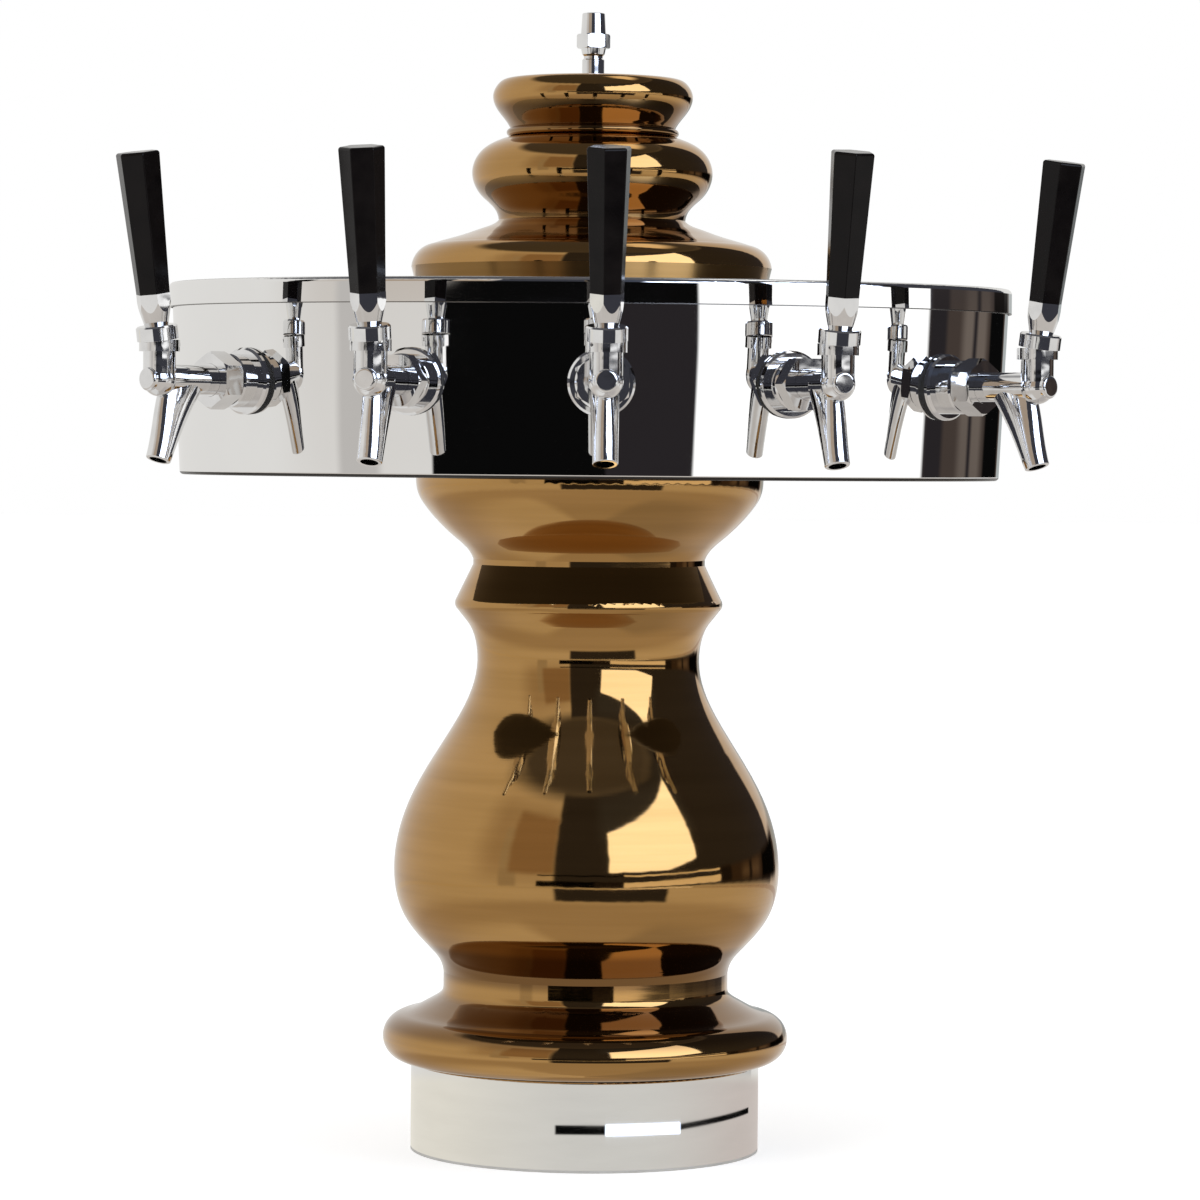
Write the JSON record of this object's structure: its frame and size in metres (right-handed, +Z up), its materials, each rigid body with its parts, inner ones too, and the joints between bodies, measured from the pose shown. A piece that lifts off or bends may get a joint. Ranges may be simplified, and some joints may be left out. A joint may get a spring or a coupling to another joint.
{
  "type": "beer tower dispenser",
  "caption": "Tall beer tower with a turned gold-glazed ceramic column, an oval mirror-steel manifold drum with a row of lever taps, and a ceramic crown with finial.",
  "frame": {"origin": "centre of the base, at the underside of the base gasket, on the axis of the column", "axes": "+Z up along the column, the taps face -Y, +X to the right seen from the front"},
  "size_m": [0.6822, 0.5556, 0.847],
  "materials": {
    "gold_glaze": "mirror-bright metallic gold-brown lustre glaze",
    "mirror_stainless": "mirror-polished stainless sheet",
    "polished_stainless": "finely polished stainless band",
    "satin_stainless": "satin stainless steel",
    "chrome_plate": "bright chrome plate",
    "black_handle": "glossy black moulded plastic",
    "black_rubber": "matt black rubber",
    "copper_tube": "bare copper tube",
    "white_nylon": "matt white nylon"
  },
  "bodies": {
    "root": {"base_gasket": "black_rubber", "base_plate": "satin_stainless", "base_ring": "polished_stainless", "column_gasket": "black_rubber", "ceramic_column": "gold_glaze", "drum_gasket": "black_rubber", "support_tube": "satin_stainless", "tube_ring_nut": "satin_stainless", "manifold_drum": "mirror_stainless", "manifold_lid": "mirror_stainless", "crown_gasket": "black_rubber", "ceramic_crown": "gold_glaze", "rod_bridge": "satin_stainless", "rod_nuts": "satin_stainless", "tie_rod": "satin_stainless", "finial_stem": "chrome_plate", "finial_nut": "chrome_plate", "finial_cap": "chrome_plate", "coolant_loop": "copper_tube", "line_spacer": "white_nylon", "beer_lines": "satin_stainless", "shank_seals": "black_rubber", "shanks": "chrome_plate", "shank_flanges": "chrome_plate", "shank_lock_nuts": "chrome_plate", "tail_pieces": "satin_stainless", "coupling_washers": "black_rubber", "coupling_nuts": "chrome_plate", "bonnets": "chrome_plate", "tap_1_body": "chrome_plate", "tap_2_body": "chrome_plate", "tap_3_body": "chrome_plate", "tap_4_body": "chrome_plate", "tap_5_body": "chrome_plate"},
    "lever_1": {"tap_1_lever": "satin_stainless", "tap_1_collar": "chrome_plate", "tap_1_ferrule": "chrome_plate", "tap_1_handle": "black_handle"},
    "plunger_1": {"tap_1_plunger": "satin_stainless"},
    "lever_2": {"tap_2_lever": "satin_stainless", "tap_2_collar": "chrome_plate", "tap_2_ferrule": "chrome_plate", "tap_2_handle": "black_handle"},
    "plunger_2": {"tap_2_plunger": "satin_stainless"},
    "lever_3": {"tap_3_lever": "satin_stainless", "tap_3_collar": "chrome_plate", "tap_3_ferrule": "chrome_plate", "tap_3_handle": "black_handle"},
    "plunger_3": {"tap_3_plunger": "satin_stainless"},
    "lever_4": {"tap_4_lever": "satin_stainless", "tap_4_collar": "chrome_plate", "tap_4_ferrule": "chrome_plate", "tap_4_handle": "black_handle"},
    "plunger_4": {"tap_4_plunger": "satin_stainless"},
    "lever_5": {"tap_5_lever": "satin_stainless", "tap_5_collar": "chrome_plate", "tap_5_ferrule": "chrome_plate", "tap_5_handle": "black_handle"},
    "plunger_5": {"tap_5_plunger": "satin_stainless"}
  },
  "joints": [
    {"name": "lever_1_pull", "type": "hinge", "parent": "root", "child": "lever_1", "pos_m": [-0.31043, -0.18664, 0.588], "axis": [0.7201, -0.6939, 0], "range_deg": [0, 25]},
    {"name": "plunger_1_slide", "type": "slide", "parent": "root", "child": "plunger_1", "axis": [0.6939, 0.7201, 0], "range_m": [0, 0.00727]},
    {"name": "lever_2_pull", "type": "hinge", "parent": "root", "child": "lever_2", "pos_m": [-0.16111, -0.27418, 0.588], "axis": [0.9487, -0.3161, 0], "range_deg": [0, 25]},
    {"name": "plunger_2_slide", "type": "slide", "parent": "root", "child": "plunger_2", "axis": [0.3161, 0.9487, 0], "range_m": [0, 0.00727]},
    {"name": "lever_3_pull", "type": "hinge", "parent": "root", "child": "lever_3", "pos_m": [0, -0.29974, 0.588], "axis": [1, 0, 0], "range_deg": [0, 25]},
    {"name": "plunger_3_slide", "type": "slide", "parent": "root", "child": "plunger_3", "axis": [0, 1, 0], "range_m": [0, 0.00727]},
    {"name": "lever_4_pull", "type": "hinge", "parent": "root", "child": "lever_4", "pos_m": [0.16111, -0.27418, 0.588], "axis": [0.9487, 0.3161, 0], "range_deg": [0, 25]},
    {"name": "plunger_4_slide", "type": "slide", "parent": "root", "child": "plunger_4", "axis": [-0.3161, 0.9487, 0], "range_m": [0, 0.00727]},
    {"name": "lever_5_pull", "type": "hinge", "parent": "root", "child": "lever_5", "pos_m": [0.31043, -0.18664, 0.588], "axis": [0.7201, 0.6939, 0], "range_deg": [0, 25]},
    {"name": "plunger_5_slide", "type": "slide", "parent": "root", "child": "plunger_5", "axis": [-0.6939, 0.7201, 0], "range_m": [0, 0.00727]}
  ],
  "couplings": [
    {"joint": "plunger_1_slide", "follows": "lever_1_pull", "m_per_rad": 0.016615},
    {"joint": "plunger_2_slide", "follows": "lever_2_pull", "m_per_rad": 0.016615},
    {"joint": "plunger_3_slide", "follows": "lever_3_pull", "m_per_rad": 0.016615},
    {"joint": "plunger_4_slide", "follows": "lever_4_pull", "m_per_rad": 0.016615},
    {"joint": "plunger_5_slide", "follows": "lever_5_pull", "m_per_rad": 0.016615}
  ]
}
